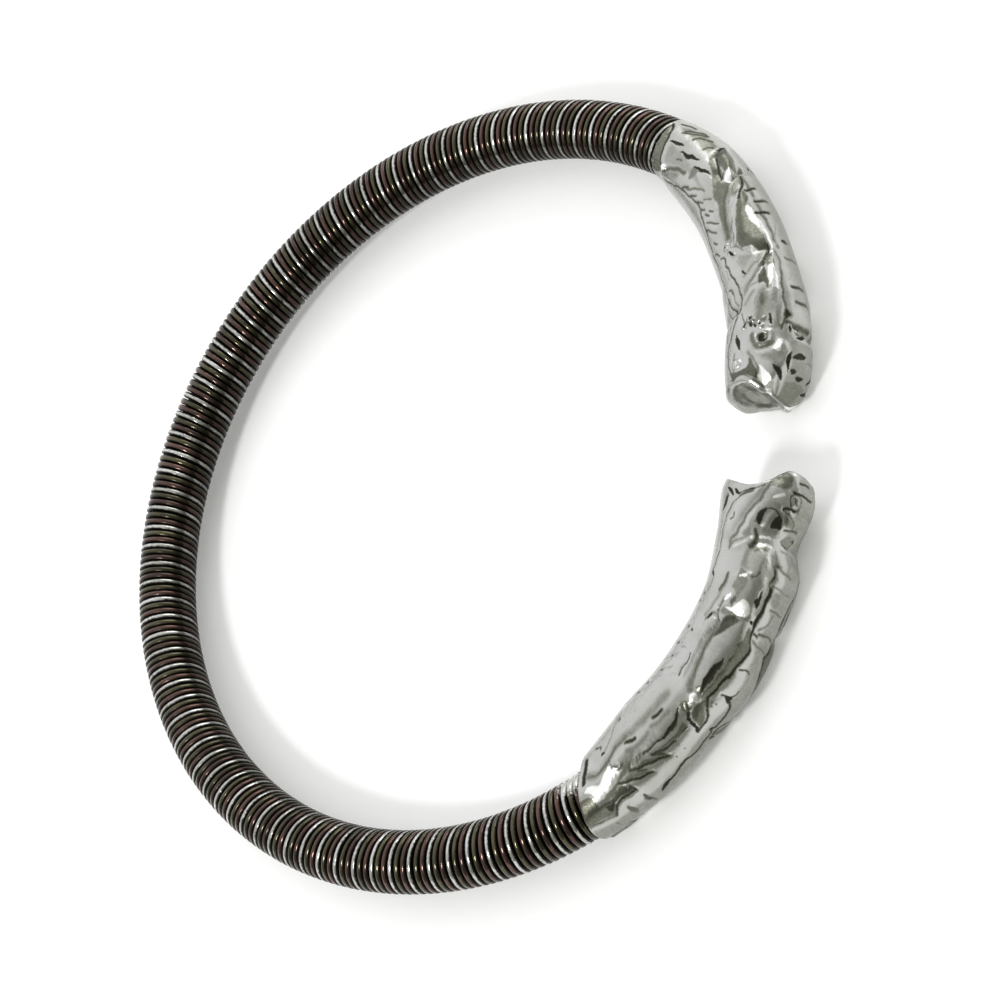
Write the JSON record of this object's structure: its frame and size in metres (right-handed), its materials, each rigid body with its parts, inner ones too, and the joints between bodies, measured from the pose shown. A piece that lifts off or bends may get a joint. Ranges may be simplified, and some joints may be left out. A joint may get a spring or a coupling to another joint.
{
  "type": "wire wrapped cuff bracelet",
  "caption": "Open round cuff bracelet: a bent rod closely wound with silver, copper and brass wire, with cast beast-head terminals whose open jaws face each other across the gap.",
  "frame": {"origin": "centre of the wrist opening, on the ring's axis at the height of the rod's centre line", "axes": "+Z along the ring's axis; +X from the centre through the middle of the gap; +Y towards the left terminal"},
  "size_m": [0.0677, 0.0701, 0.0068],
  "materials": {
    "core_metal": "plain drawn rod, hidden under the winding",
    "wound_wires": "close winding of three bright and darkened wires",
    "silver_wire": "bright drawn silver wire, lightly tarnished between the turns",
    "copper_wire": "drawn copper wire, oxidised dark rose brown",
    "brass_wire": "drawn brass wire, oxidised dark olive",
    "cast_silver": "polished cast silver, darkened in its creases"
  },
  "bodies": {
    "root": {"core_rod": "core_metal", "wire_wrap": "wound_wires", "left_terminal": "cast_silver", "right_terminal": "cast_silver"}
  },
  "joints": []
}
